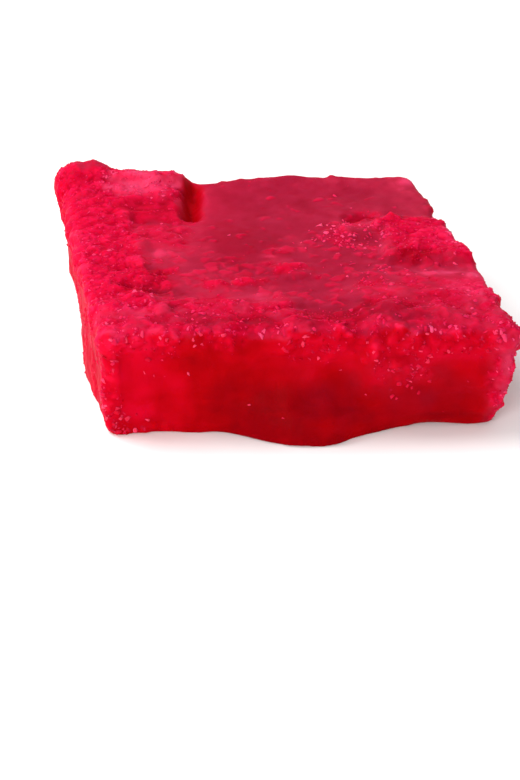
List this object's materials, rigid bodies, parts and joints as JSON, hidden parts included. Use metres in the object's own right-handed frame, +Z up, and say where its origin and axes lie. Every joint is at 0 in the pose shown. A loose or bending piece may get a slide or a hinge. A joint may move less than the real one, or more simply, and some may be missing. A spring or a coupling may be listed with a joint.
{
  "type": "square of sugar candy",
  "caption": "Hand-cut square slab of red translucent sugar candy, with a smooth film on top, patches of raised sugar crust, crumbly cut sides and chipped edges; it lies flat.",
  "frame": {"origin": "under the middle of the bounding box, on the flat underside", "axes": "+Z up through the thickness of the slab, +X along the front cut edge, -Y towards the front cut side, and the back edge lies a little towards -X of the front edge"},
  "size_m": [0.0584, 0.0524, 0.0166],
  "materials": {
    "sugar_candy": null
  },
  "bodies": {
    "root": {"sugar_candy": "sugar_candy"}
  },
  "joints": []
}
